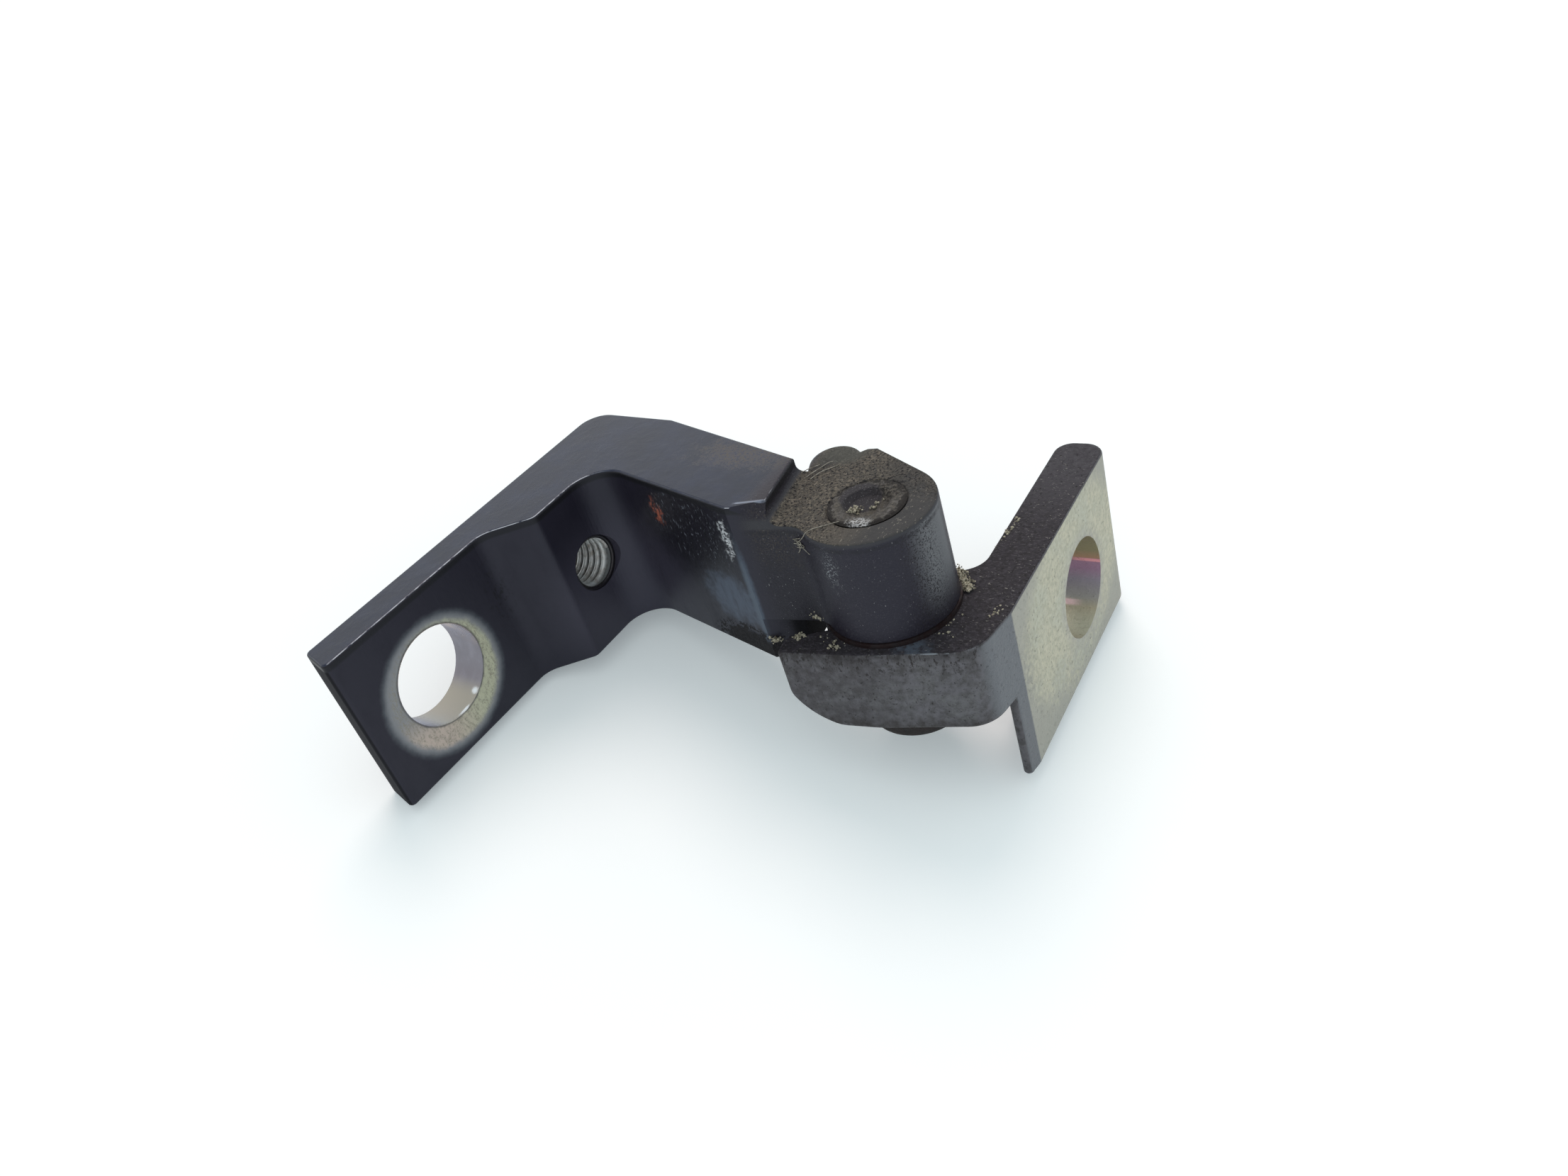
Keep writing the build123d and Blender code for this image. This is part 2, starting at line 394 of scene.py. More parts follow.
def drilled(node, drill):
    """A closed copy of a CAD node's mesh, cut by a drill's bmesh and shaded as the node is."""
    weld = 0.001 * MM
    closed = bmesh.new()
    closed.from_mesh(node.data)
    bmesh.ops.remove_doubles(closed, verts=closed.verts, dist=weld)
    blank, tool = set_down(closed, "blank"), set_down(drill, "tool")
    cut = blank.modifiers.new("cut", "BOOLEAN")
    cut.object, cut.operation, cut.solver = tool, "DIFFERENCE", "EXACT"
    graph = bpy.context.evaluated_depsgraph_get()
    result = bpy.data.meshes.new_from_object(blank.evaluated_get(graph), depsgraph=graph)
    for piece in (blank, tool):
        bpy.data.objects.remove(piece)
    shade_alike(result, node.data)
    return result


class HINGE_OT_pillar_leaf(bpy.types.Operator):
    """Paint, bare washer mark, dust and scuffs of the pillar leaf"""

    bl_idname = "hinge.pillar_leaf"
    bl_label = "Finish the pillar leaf"

    def execute(self, context):
        look = context.scene.hinge_pillar_leaf
        # Forged steel, dip painted: a thick black skin, glossy on top and satin where grease and
        # brake dust have dulled it. The slate sheen of the faces that look up is painted into their
        # colour
        finish, tree, place, facing = new_finish("black_dip_paint")
        fray = grains(place, 1.6, 0.2, 0.8, detail=6, seed=(5, 0, 2))
        fine = grains(place, 0.35, 0.3, 0.7, detail=6)
        cloudy = grains(place, 7.0, 0.35, 0.7, seed=(3, 1, 4))
        smears = grains(place, 3.0, 0.4, 0.72, detail=8, stretch=(1, 1, 2), seed=(2, 6, 4))
        specks = grains(place, 0.28, 0.68, 0.72, detail=3, stretch=(1, 1, 1.8), seed=(7, 7, 7))
        crumbs = grains(place, 0.8, 0.45, 0.55, detail=8, seed=(2, 2, 9))
        streaks = grains(place, 0.9, 0.35, 0.75, detail=6, stretch=(1, 1, 9))
        up = along(facing, Z, 0.55, 0.8)

        # The neck and the barrel: satin, with a lighter stripe on the side that faces the door,
        # which is a painted reflection of the floor, with dark pits along its edge. Real dust is
        # finer than a tenth of a millimetre, and is drawn coarser to show
        beyond_step = along(place, Y, -49, -53)
        on_barrel = both(beyond_step, patch(place, (pin_x, pin_y, 0), (11.5, 11.5, 60), 0.04))
        low_top = along(place, Z, barrel_top + 1.6, barrel_top + 0.7)
        barrel_face = both(beyond_step, up, low_top)
        painted_floor_reflection = both(
            on_barrel,
            along(facing, X, -0.6, -0.15),
            along(facing, X, 0.42, 0.22),
            along(place, Z, barrel_top - 19, barrel_top - 9),
        )
        band_edge = both(
            on_barrel,
            along(facing, X, -0.75, -0.5),
            along(facing, X, 0.2, -0.2),
            grains(place, 0.26, 0.48, 0.62, detail=4, seed=(1, 8, 2)),
        )
        rolled_rim = both(beyond_step, low_top, along(place, Z, barrel_top - 0.9, barrel_top - 0.3))
        under_rim = both(
            beyond_step,
            along(place, Z, barrel_top - 1.9, barrel_top - 1.4),
            along(place, Z, barrel_top - 0.8, barrel_top - 1.1),
            fray,
        )
        neck_dust = both(
            beyond_step,
            patch(place, (34.6, -54.5, 9.5), (3, 6.5, 6.5), 0.6, fray, 0.5),
            grains(place, 0.3, 0.46, 0.62, detail=5, seed=(2, 5, 1)),
        )
        powder = both(beyond_step, grains(place, 0.26, 0.56, 0.62, detail=4, seed=(9, 5, 5)))
        neck_scuffs = both(
            patch(place, (31.7, -66, 6.5), (1.2, 2.2, 4.5), 0.5, fray, 0.9),
            grains(place, 0.24, 0.52, 0.6, detail=6, stretch=(1, 1.6, 1), seed=(2, 4, 8)),
        )

        # Felted dust on top: fine grey-brown lint, grainy at the back and smooth at the front
        felt = grains(place, 0.5, 0.4, 0.62, detail=8, stretch=(0.8, 1.2, 1))
        thick = grains(place, 3.2, 0.35, 0.65, detail=6, seed=(8, 8, 3))
        gaps = grains(place, 0.42, 0.52, 0.6, detail=6, seed=(6, 2, 7))
        fibres = grains(place, 0.32, 0.6, 0.66, detail=4, stretch=(2, 1, 1), seed=(4, 9, 1))
        rear = along(place, Y, pin_y - 5, pin_y + 6)
        right = along(place, X, pin_x, pin_x + 8)
        grainy = either(rear, right)
        dust_tone = tones(
            tree,
            "#424140",
            (both(right, thick), "#5a554e"),
            (rear, look.dust),
            (both(rear, thick), "#746c60"),
            (both(grainy, felt), "#54504a"),
            (both(grainy, gaps), "#1f1d1c"),
            (both(fibres, fray), "#8f897d"),
        )
        smooth_lug = patch(place, (56.5, -56.5, 10.7), (6.0, 5.5, 1.5), 0.2)
        dark_lug = both(patch(place, (51.5, -53.8, 10.5), (3.2, 2.6, 3), 0.5), fray)
        arm_dust = both(
            up,
            patch(place, (47.8, -43, leaf_high.z), (5.6, 14, 2), 0.45, fray, 0.7),
            grains(place, 0.35, 0.34, 0.76, detail=8, seed=(4, 5, 6)),
        )
        # The dark ring round the pin's end: painted shade in the groove, with pitted dirt
        groove_shade_and_dirt = both(
            barrel_face,
            patch(place, (pin_x + 0.6, pin_y + 0.5, barrel_top), (7.5, 7.3, 9), 0.06, fray, 0.35),
            crumbs,
        )

        # The crease: grey film and white scuffs where the arm meets the neck, and a painted
        # highlight down the crease itself
        inward = both(along(facing, X, -0.7, -0.9), along(facing, Y, 0.0, 0.2))
        corner = patch(place, (34, -17, -6), (12, 12, 12), 0.5)
        inner = both(patch(place, (36, -37, 8), (8, 13.5, 12), 0.4, fray, 0.3), inward)
        film = both(
            inward,
            patch(place, (34.3, -42.5, -4.6), (4, 8.5, 6.2), 0.35, fray, 0.5),
            grains(place, 1.2, 0.15, 0.55, detail=8, stretch=(1, 1, 3), seed=(1, 9, 1)),
        )
        # A painted highlight in a thin strip down the crease
        painted_crease_highlight = both(
            patch(place, (32.9, -48.0, -2.5), (1.1, 1.0, 11.5), 0.5, fray, 0.3),
            along(facing, X, -0.8, -0.95),
        )
        # Near-black painted shade in the notch beside the step
        notch = both(along(place, Z, -6.0, -8.5), along(place, Y, -51.5, -53.0))
        low_dirt = patch(place, (34, -44, leaf_low.z), (5, 12, 5.6), 0.12, crumbs, 0.3)
        spot = both(
            patch(place, (37.7, -28.6, 9.2), (3, 2.3, 3.3), 0.35, fray, 0.8),
            grains(place, 0.6, 0.44, 0.62, detail=8, stretch=(1, 1, 1.8)),
        )
        spot_rim = both(
            patch(place, (37.5, -29.2, 11.0), (3, 3.4, 3.8), 0.35, fray, 0.8),
            grains(place, 0.3, 0.58, 0.66, detail=6, stretch=(1, 1, 3), seed=(8, 2, 6)),
        )
        scratches = both(
            inward,
            patch(place, (35.5, -37, 8.5), (5, 10, 7), 0.5),
            grains(place, 0.26, 0.6, 0.67, detail=5, stretch=(1, 1, 4), seed=(6, 1, 2)),
        )
        scuff = both(
            patch(place, (33.2, -46.2, 8.6), (1.9, 2.1, 5.0), 0.3, fray, 1.0),
            grains(place, 0.45, 0.42, 0.54, detail=8, stretch=(1, 1.6, 1), seed=(2, 4, 8)),
        )
        # The plate's thin end face is painted blacker than the paint: painted shade
        end_face = both(along(facing, X, -0.6, -0.9), along(place, X, -13.5, -15.0))
        rubbed = both(
            patch(place, (16.5, -7, 4.0), (3.0, 2, 8.0), 0.6, fray, 0.8),
            grains(place, 0.7, 0.5, 0.62, detail=8, stretch=(1, 1, 1.6), seed=(5, 5, 5)),
        )
        # A painted highlight along the rounding of the top edge
        painted_edge_highlight = both(
            along(facing, Z, 0.7, 0.78),
            along(facing, Z, 0.93, 0.86),
            along(place, Z, leaf_high.z - 0.8, leaf_high.z - 0.5),
            along(facing, Y, 0.2, -0.2),
            along(place, X, 40.0, 36.5),
            grains(place, 2.5, 0.35, 0.55, detail=3, seed=(0, 3, 0)),
        )
        # A painted highlight along the facet's top edge, from its start to its end
        facet_start, facet_end = Vector((33.67, -47.92, 0)), Vector((35.74, -53.94, 0))
        outward = (facet_end - facet_start).normalized().cross(Vector((0, 0, 1)))
        past = add(
            tree, "ShaderNodeVectorMath", {0: place, 1: outward}, operation="DOT_PRODUCT"
        ).outputs["Value"]
        line_at = facet_start.dot(outward)
        sides = ((line_at - 0.45, line_at - 0.2), (line_at + 0.2, line_at + 0.1))
        on_line = (
            add(tree, "ShaderNodeMapRange", {0: past, 1: low, 2: high}).outputs[0]
            for low, high in sides
        )
        painted_facet_highlight = both(
            *on_line,
            along(place, Y, -48.8, -49.8),
            along(place, Y, -54.4, -53.8),
            along(place, Z, leaf_high.z - 0.4, leaf_high.z - 0.25),
            grains(place, 1.6, 0.25, 0.5, detail=6, seed=(0, 3, 5)),
        )
        # Painted shade: a black band on the walls just under the top edge's rounding
        painted_edge_shade = both(
            along(facing, Z, 0.66, 0.5),
            along(place, Z, leaf_high.z - 1.5, leaf_high.z - 1.0),
        )

        # Round the bolt hole: the metal that a washer kept bare, and the bores
        hole = mounts["pillar_bolt_hole"]["dims"]["r_mm"]
        washer = look.washer / MM
        middle = (-0.2, 0, -1.8)
        front = along(place, Y, -plate_wall + 0.8, -plate_wall + 0.1)
        halo, ring, core = (
            both(front, patch(place, middle, (size, THROUGH, size), soft, fray, ragged))
            for size, soft, ragged in (
                (washer + 0.15, 0.05, 0.03),
                (washer - 0.6, 0.05, 0.02),
                (washer - 1.3, 0.06, 0.05),
            )
        )
        hole_line = both(
            front,
            patch(place, (0, 0, 0), (hole + 0.35, THROUGH, hole + 0.35), 0.03, fray, 0.02),
        )
        bore = both(
            patch(place, (0, 0, 0), (hole + 0.08, THROUGH, hole + 0.08), 0.002),
            along(place, Y, -plate_wall - 2, -plate_wall - 1),
        )
        # Painted glints on the rounding of the bolt hole's front rim
        painted_glint_right = patch(place, (4.3, -6.2, -7.3), (0.7, 0.8, 0.7), 0.5, fray, 0.4)
        painted_glint_left = patch(place, (0.6, -6.7, -8.5), (1.5, 0.35, 0.5), 0.5, fray, 0.4)
        painted_rim_glints = both(bore, either(painted_glint_right, painted_glint_left))
        tapped = both(
            patch(
                place,
                (thread_place.x, 0, thread_place.z),
                (thread_major + 0.1, THROUGH, thread_major + 0.1),
                0.004,
            ),
            along(place, Y, -thread_depth + 0.1, -thread_depth + 0.3),
        )
        teeth = grains(place, 0.45, 0.4, 0.62, detail=6, stretch=(1, 1, 2), seed=(3, 3, 3))
        lower = along(place, Z, -1.0, -8.0)
        ring_tone = tones(
            tree,
            "#8f9092",
            (lower, "#c4b5aa"),
            (along(place, X, -5.0, 5.0), look.zinc),
            (both(teeth, fine), "#8c8778"),
        )
        bore_tone = tones(
            tree,
            look.bore,
            (smears, "#8e8c94"),
            (both(along(place, Z, -1.5, 3.0), cloudy), "#b89f88"),
            (both(along(place, Z, 5.0, 7.5), fray), "#9c9284"),
            (along(place, Z, -6.0, -8.0), "#a6a296"),
        )

        coats = [
            (None, look.paint, 0.42, 0.0),
            (smears, "#1a1823", 0.5, 0.0),
            (rubbed, "#09080c", 0.6, 0.0),
            # Painted shade on the plate's thin end face
            (end_face, "#050508", 0.9, 0.0),
            # Painted sheen of the sky on the faces that look up, with cloudier patches
            (up, look.painted_sky_sheen, 0.22, 0.0),
            (both(cloudy, up), "#152036", 0.26, 0.0),
            (corner, "#34323e", 0.45, 0.0),
            # Painted shade: the arm's inner face is darker where it reflects the dark parts
            # opposite, with darker streaks in the paint
            (inner, "#15131b", 0.34, 0.0),
            (both(inner, streaks), "#0a090e", 0.4, 0.0),
            (beyond_step, look.satin, 0.45, 0.0),
            # A lighter black over the barrel: a painted sheen
            (on_barrel, "#1a1722", 0.45, 0.0),
            (neck_dust, "#423e3c", 0.9, 0.0),
            (both(powder, fray), "#3d3b43", 0.7, 0.0),
            # A painted reflection of the floor on the barrel's side
            (painted_floor_reflection, "#6a6c6f", 0.6, 0.0),
            (band_edge, "#1b181a", 0.7, 0.0),
            (under_rim, "#0c0b0f", 0.5, 0.0),
            (both(beyond_step, specks), "#8b8b8c", 0.8, 0.0),
            (neck_scuffs, "#8c9094", 0.7, 0.0),
            (film, look.film, 0.5, 0.0),
            # Painted highlight down the crease
            (painted_crease_highlight, "#4c5765", 0.45, 0.0),
            (low_dirt, "#171413", 0.8, 0.0),
            (arm_dust, "#625d54", 0.9, 0.0),
            (rolled_rim, "#3a3a3d", 0.7, 0.0),
            (barrel_face, dust_tone, 0.95, 0.0),
            (both(barrel_face, smooth_lug), "#5b5a53", 0.9, 0.0),
            (dark_lug, "#2a2829", 0.8, 0.0),
            # Painted shade in the notch beside the step
            (notch, "#0b0a0c", 0.9, 0.0),
            # Painted shade in the groove round the pin, with pitted dirt
            (groove_shade_and_dirt, "#191716", 0.95, 0.0),
            (halo, "#4f5359", 0.5, 0.0),
            (ring, "#84868a", 0.45, 0.2),
            (core, ring_tone, 0.5, 0.2),
            (hole_line, "#4f5052", 0.5, 0.2),
            (bore, bore_tone, 0.25, 0.6),
            # Painted glints on the bolt hole's rim
            (painted_rim_glints, "#f2f8fb", 0.3, 0.4),
            (tapped, "#8b8d8e", 0.45, 0.3),
            (spot_rim, "#857b7c", 0.6, 0.0),
            (spot, look.rust, 0.5, 0.1),
            (scratches, "#7b818b", 0.5, 0.0),
            (scuff, "#c4c8cc", 0.7, 0.0),
            # Painted shade under the top edge
            (painted_edge_shade, "#050508", 0.5, 0.0),
            # Painted highlight along the top edge
            (painted_edge_highlight, "#b9bcc2", 0.25, 0.0),
            # Painted highlight along the facet's edge
            (painted_facet_highlight, "#7a8190", 0.3, 0.0),
        ]
        heights = [
            (smears, 0.02),
            (both(beyond_step, fine), 0.03),
            (both(barrel_face, grainy, felt), 0.16),
            (both(barrel_face, thick), 0.12),
            (both(core, teeth), 0.02),
            (both(low_dirt, crumbs), 0.2),
        ]
        cover(tree, coats, heights, {"IOR": 1.42, "Specular Tint": "#e8eeff"})

        # The solid's threaded hole stops where the arm's inner corner rounds over its edge, and
        # is drilled right through here
        run_out, start = 6, 0.05 - thread_depth
        drill_place = Vector((thread_place.x, start - run_out / 2, thread_place.z)) * MM
        drill = bmesh.new()
        bmesh.ops.create_cone(
            drill,
            cap_ends=True,
            segments=96,
            radius1=thread_major * MM,
            radius2=thread_major * MM,
            depth=run_out * MM,
            matrix=Matrix.Translation(drill_place) @ Matrix.Rotation(pi / 2, 4, "X"),
        )
        node = frame["nodes"]["pillar_leaf"]
        name = "pillar_leaf_drilled_through"
        leaf = bpy.data.objects.new(name, drilled(node, drill))
        context.collection.objects.link(leaf)
        wear(leaf, finish)
        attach(leaf, "pillar")
        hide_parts("pillar_leaf")
        return {"FINISHED"}


class HINGE_OT_thread(bpy.types.Operator):
    """Turns of the thread inside the pillar leaf's threaded hole"""

    bl_idname = "hinge.thread"
    bl_label = "Cut the thread"

    def execute(self, context):
        look = context.scene.hinge_thread
        # Cut steel: bright flanks, dark grease in the roots
        finish, tree, place, _ = new_finish("cut_steel_thread")
        greasy = grains(place, 1.2, 0.4, 0.7)
        lead_in = along(place, Y, -thread_depth + 0.75, -thread_depth + 0.6)
        coats = [
            (None, look.steel, 0.32, 0.3),
            (greasy, "#a39d98", 0.45, 0.2),
            (lead_in, "#141219", 0.45, 0.0),
        ]
        cover(tree, coats, [(greasy, 0.02)])

        # Half the width of a turn at its root and at its crest, and how deep the first one starts
        pitch, minor = look.pitch / MM, look.minor / MM
        root, crest, start = 0.44 * pitch, pitch / 8, -0.6 * pitch
        in_wall = thread_major + 0.04
        mesh = bmesh.new()
        corners = [
            (in_wall, start + root),
            (minor, start + crest),
            (minor, start - crest),
            (in_wall, start - root),
        ]
        ring = [
            mesh.verts.new(Vector((thread_place.x + x, y, thread_place.z)) * MM) for x, y in corners
        ]
        cap = mesh.faces.new(ring)
        turns = int((thread_depth - 1.2 * pitch) / pitch)
        bmesh.ops.spin(
            mesh,
            geom=[cap, *cap.edges, *cap.verts],
            cent=thread_place * MM,
            axis=(0, 1, 0),
            dvec=(0, -look.pitch / look.steps, 0),
            angle=turns * tau,
            steps=turns * look.steps,
            use_merge=False,
        )
        # The countersunk mouth, which the paint has reached
        mouth = [(in_wall, 0.05), (minor + 0.15, 0.6), (in_wall, 1.2)]
        loop = [
            mesh.verts.new(Vector((thread_place.x + x, y - thread_depth, thread_place.z)) * MM)
            for x, y in mouth
        ]
        sides = [mesh.edges.new((loop[i - 1], loop[i])) for i in range(len(loop))]
        bmesh.ops.spin(
            mesh,
            geom=[*loop, *sides],
            cent=thread_place * MM,
            axis=(0, 1, 0),
            angle=tau,
            steps=look.steps,
            use_merge=True,
        )
        thread = settle(mesh, "bolt_hole_thread", finish, "pillar")
        return {"FINISHED"}


class HINGE_OT_door_leaf(bpy.types.Operator):
    """Worn coat, zinc face and dirt of the door leaf"""

    bl_idname = "hinge.door_leaf"
    bl_label = "Finish the door leaf"

    def execute(self, context):
        look = context.scene.hinge_door_leaf
        # Forged steel, phosphated over zinc: satin grey walls, dirt caked on top, and the yellow
        # passivate still on the face that was clamped
        finish, tree, place, facing = new_finish("phosphated_zinc_coat")
        local = add(
            tree,
            "ShaderNodeMapping",
            {"Vector": place, "Location": (pin_x, pin_y, 0), "Rotation": (0, 0, door_turn)},
            vector_type="TEXTURE",
        ).outputs[0]
        fine = grains(local, 0.4, 0.3, 0.7, detail=6)
        mottle = grains(local, 1.3, 0.35, 0.68, detail=8)
        marble = grains(local, 0.8, 0.38, 0.66, detail=8, seed=(1, 1, 8))
        broad = grains(local, 7.0, 0.4, 0.65, detail=4, seed=(2, 8, 5))
        pits = grains(local, 0.6, 0.6, 0.7, detail=5, seed=(4, 4, 1))
        flecks = grains(local, 0.3, 0.64, 0.69, detail=3, stretch=(1, 2, 1), seed=(9, 1, 3))
        fuzz = grains(local, 0.4, 0.5, 0.64, detail=8, stretch=(1, 1.8, 1), seed=(3, 3, 1))
        chips = grains(local, 0.5, 0.55, 0.62, detail=5, stretch=(1, 1, 2.2), seed=(5, 4, 8))
        fray = grains(local, 1.8, 0.2, 0.8, detail=6, seed=(6, 0, 2))
        up = along(facing, Z, 0.72, 0.86)

        # The eye's walls: dirt thins out below the top edge and above the lower one
        eye_side = along(local, X, -0.5, -4.0)
        eye_top, eye_low = door_top, door_top - eye_height
        caked, crusty, sooty = (
            both(eye_side, along(place, Z, *levels), chips if broken else fray)
            for levels, broken in (
                ((eye_top - 2.2, eye_top - 0.4), False),
                ((eye_top - 5.5, eye_top - 1.5), True),
                ((eye_low + 3.6, eye_low + 0.8), False),
            )
        )
        darker_end = both(eye_side, along(place, Y, -76, -66))
        worn_line = both(
            along(facing, Z, 0.35, 0.55),
            along(facing, Z, 0.9, 0.75),
            along(place, Z, eye_top - 0.8, eye_top - 0.5),
            along(place, Y, -70, -74),
            along(place, X, 36.5, 34.5),
            grains(place, 1.6, 0.48, 0.6, detail=6, seed=(1, 1, 7)),
        )

        # The strip beside the mounting face, and the face itself
        strip = both(
            along(facing, Y, -0.75, -0.99),
            along(local, Y, -15.5, -17.5),
            along(local, X, 1.6, 0.9),
        )
        low_strip = both(strip, along(place, Z, -20, -33))
        mount_face = both(along(local, X, 0.9, 1.4), along(facing, Y, -0.9, -0.98))
        inside = patch(local, (25.5, -19.35, -22), (24.5, 9, 17.5), 0.14, fray, 0.12)
        bore_at = Vector(door_bore["pos_m"]) / MM
        bore_radius = door_bore["dims"]["r_mm"]
        bore_local = Vector((bore_at.x - pin_x, bore_at.y - pin_y, 0))
        bore_local.rotate(Matrix.Rotation(-door_turn, 3, "Z"))
        bore_local.z = bore_at.z
        round_bore, bore = (
            patch(local, bore_local, (bore_radius + more, THROUGH, bore_radius + more), soft)
            for more, soft in ((1.2, 0.18), (0.06, 0.002))
        )
        bore = both(bore, along(facing, Y, -0.97, -0.9))
        face_tone = tones(
            tree,
            look.zinc,
            (broad, "#bebfae"),
            (marble, look.stain),
            (both(round_bore, fray), "#9d9b98"),
            (both(along(place, Z, -26, -38), mottle), "#a6a59c"),
            (both(along(local, X, 9, 1.5), mottle), "#8a8a84"),
            (both(pits, fine), "#8e8f86"),
        )

        # Bands of colour up the bore: partly the passivate's interference colours, partly painted
        # reflections
        height = add(tree, "ShaderNodeSeparateXYZ", {0: place}).outputs[Z]
        inputs = {0: height, 1: bore_at.z - bore_radius, 2: bore_at.z + bore_radius}
        climb = add(tree, "ShaderNodeMapRange", inputs).outputs[0]
        bands = add(tree, "ShaderNodeValToRGB", {0: climb})
        stops = (
            (0.0, "#c6c5ae"),
            (0.055, "#bdb59c"),
            (0.115, "#aaa8a4"),
            (0.25, "#a39caa"),
            (0.36, "#ac8ba6"),
            (0.44, "#ae8aa4"),
            (0.485, "#b8957a"),
            (0.58, "#9a9474"),
            (1.0, "#8e8a70"),
        )
        while len(bands.color_ramp.elements) < len(stops):
            bands.color_ramp.elements.new(0.5)
        for element, (spot, code) in zip(bands.color_ramp.elements, stops):
            element.position = spot
            element.color = linear(code)

        # Painted highlights: a pink glint near the face and a paler one deeper in the bore
        upper_glint, lower_glint = (
            both(
                bore,
                along(place, Z, height_low - 0.25, height_low),
                along(place, Z, height_low + 0.6, height_low + 0.35),
                along(local, Y, *depths),
            )
            for height_low, depths in ((-25.65, (-12.0, -17.0)), (-32.4, (-17.0, -14.0)))
        )

        # The top: charcoal dirt, pitted, with pale flecks and a lighter far end
        far_end = along(local, X, 20, 44)
        polished = patch(place, (33.0, -75.8, eye_top), (2.6, 3.4, 1), 0.4, fray, 0.6)
        smudges = grains(local, 1.0, 0.3, 0.55, detail=6, seed=(7, 2, 2))
        top_tone = tones(
            tree,
            look.top,
            (mottle, "#2b282f"),
            (far_end, "#424146"),
            (both(far_end, mottle), "#312f35"),
            (fuzz, "#3d3a40"),
            (pits, "#08070a"),
            (both(flecks, fray), "#a5a29b"),
            (both(polished, smudges), "#48505c"),
        )
        coats = [
            (None, look.wall, 0.5, 0.1),
            (mottle, "#434244", 0.55, 0.1),
            (both(broad, fine), "#646567", 0.45, 0.1),
            (both(darker_end, fray), "#39363a", 0.5, 0.1),
            (both(eye_side, pits), "#2a2829", 0.7, 0.0),
            (sooty, "#2b2726", 0.7, 0.0),
            (crusty, "#2a2728", 0.7, 0.0),
            (caked, look.dirt, 0.75, 0.0),
            (strip, look.strip, 0.4, 0.2),
            (low_strip, "#6a6d72", 0.42, 0.2),
            (mount_face, "#a5a49a", 0.5, 0.1),
            (both(mount_face, inside), face_tone, 0.5, 0.1),
            (up, top_tone, 0.8, 0.0),
            # Colour bands, partly painted reflections, and two painted glints
            (bore, bands.outputs[0], 0.35, 0.2),
            (upper_glint, "#ffb0ba", 0.35, 0.0),
            (lower_glint, "#ffdcdc", 0.35, 0.0),
            (worn_line, "#757b82", 0.4, 0.2),
        ]
        heights = [(mottle, 0.05), (fine, 0.03), (pits, -0.08), (both(up, fray), 0.15)]
        cover(tree, coats, heights, {"Specular IOR Level": 0.35})
        wear(frame["nodes"]["door_leaf"], finish)
        return {"FINISHED"}


class HINGE_OT_pin(bpy.types.Operator):
    """Peened end, dimple and head of the hinge pin"""

    bl_idname = "hinge.pin"
    bl_label = "Finish the pin"

    def execute(self, context):
        look = context.scene.hinge_pin
        # Turned steel, dull: dusty on the peened end, browned with grease and rust on the head
        finish, tree, place, _ = new_finish("browned_pin_steel")
        mottle = grains(place, 1.5, 0.35, 0.65, detail=8)
        fray = grains(place, 1.1, 0.2, 0.8, detail=6, seed=(6, 0, 2))
        top = along(place, Z, barrel_top - 1.5, barrel_top - 1.3)
        dusty = both(top, mottle)
        # A darker dimple in the peened end, off to the back: painted shade in the hollow, with pale
        # flecks
        floor = both(
            top,
            patch(place, (pin_x + 1.3, pin_y + 1.9, barrel_top), (3.7, 3.5, 9), 0.1, fray, 0.12),
        )
        flecks = grains(place, 0.3, 0.6, 0.68, detail=3, seed=(3, 0, 5))
        silt = both(
            top,
            patch(place, (pin_x + 0.4, pin_y - 1.2, barrel_top), (2.8, 1.6, 9), 0.3, fray, 0.5),
        )
        crust = both(
            top,
            patch(place, (pin_x + 3.2, pin_y - 1.6, barrel_top), (3.4, 4.2, 9), 0.15, fray, 0.9),
        )
        crust_pits = grains(place, 0.5, 0.47, 0.55, detail=8, seed=(2, 2, 9))
        felt = grains(place, 0.45, 0.4, 0.62, detail=8)
        inside = patch(place, (pin_x, pin_y, barrel_top), (6.3, 6.3, 9), 0.03, fray, 0.25)
        outside = add(tree, "ShaderNodeMath", {0: 1.0, 1: inside}, operation="SUBTRACT").outputs[0]
        # Outside the rim of the pin's end: painted shade in the groove round it, with dark dirt
        pin_groove_shade_and_dirt = both(top, outside)
        scuffs = both(
            patch(place, (37.3, -69.3, pin_high.z), (1.6, 2.6, 2), 0.4, fray, 0.7),
            grains(place, 0.3, 0.45, 0.55, detail=6),
        )
        coats = [
            (None, look.head, 0.6, 0.3),
            (mottle, "#292121", 0.75, 0.1),
            (top, look.peen, 0.6, 0.3),
            (dusty, "#5b564e", 0.9, 0.0),
            (both(top, felt), "#403d3a", 0.95, 0.0),
            # Painted shade in the groove round the pin, with dark dirt
            (pin_groove_shade_and_dirt, "#1d1a18", 0.95, 0.0),
            (crust, "#56514a", 0.95, 0.0),
            (both(crust, crust_pits), "#24211e", 0.95, 0.0),
            (both(silt, mottle), "#4b453d", 0.95, 0.0),
            # Painted shade in the dimple, with pale flecks
            (floor, "#232127", 0.8, 0.0),
            (both(floor, flecks), "#6b6a6c", 0.8, 0.0),
            (scuffs, look.worn, 0.6, 0.1),
        ]
        heights = [(mottle, 0.06), (felt, -0.08), (both(crust, crust_pits), -0.25)]
        cover(tree, coats, heights)
        wear(frame["nodes"]["hinge_pin"], finish)
        return {"FINISHED"}


